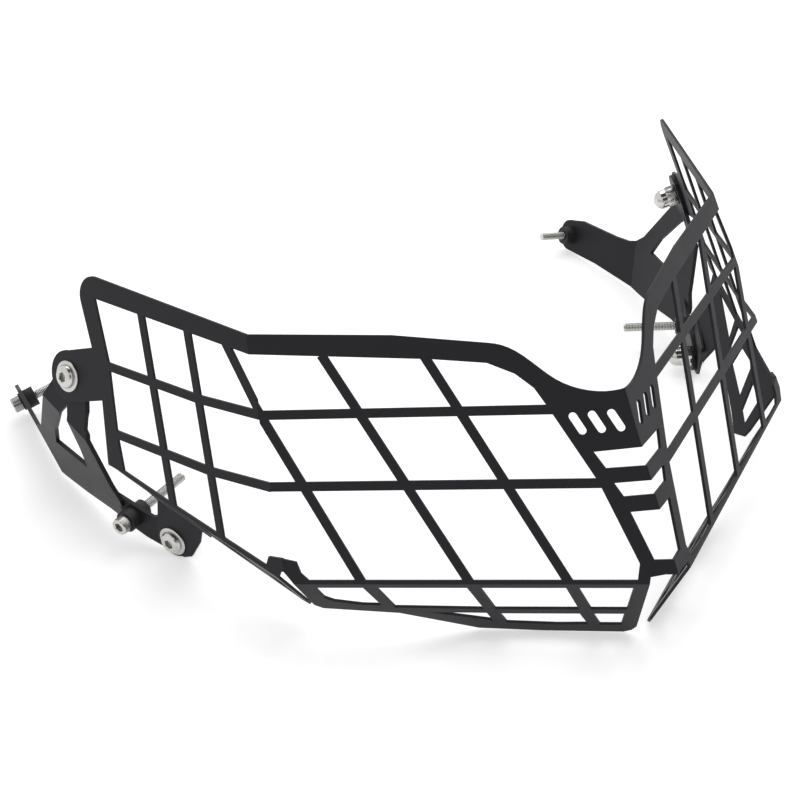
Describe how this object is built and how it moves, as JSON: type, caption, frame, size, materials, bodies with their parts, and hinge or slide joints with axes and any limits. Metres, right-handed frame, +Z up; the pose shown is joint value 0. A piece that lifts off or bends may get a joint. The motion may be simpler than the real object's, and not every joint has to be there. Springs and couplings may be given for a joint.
{
  "type": "motorcycle headlight guard",
  "caption": "Folded sheet grille with slanted bars and two bent side brackets that bolts in front of a motorcycle headlight to keep stones off it.",
  "frame": {"origin": "middle of the bounding box's bottom face, on the floor that the guard rests on", "axes": "+X across the motorcycle, from one side bracket to the other, +Y towards the back of the motorcycle, +Z up"},
  "size_m": [0.4452, 0.425, 0.1569],
  "materials": {
    "black_powder_coat": "satin powder coat",
    "bright_steel": "bright stainless steel",
    "black_spacer": "matte black"
  },
  "bodies": {
    "root": {"grille": "black_powder_coat", "bracket_right": "black_powder_coat", "upper_screw_right": "bright_steel", "lower_screw_right": "bright_steel", "upper_acorn_nut_right": "bright_steel", "lower_acorn_nut_right": "bright_steel", "rear_mount_bolt_right": "bright_steel", "lower_mount_bolt_right": "bright_steel", "rear_washer_right": "bright_steel", "rear_spacer_right": "black_spacer", "lower_spacer_right": "black_spacer", "lower_collar_right": "black_spacer", "bracket_left": "black_powder_coat", "upper_screw_left": "bright_steel", "lower_screw_left": "bright_steel", "upper_acorn_nut_left": "bright_steel", "lower_acorn_nut_left": "bright_steel", "rear_mount_bolt_left": "bright_steel", "lower_mount_bolt_left": "bright_steel", "rear_washer_left": "bright_steel", "rear_spacer_left": "black_spacer", "lower_spacer_left": "black_spacer", "lower_collar_left": "black_spacer"}
  },
  "joints": []
}
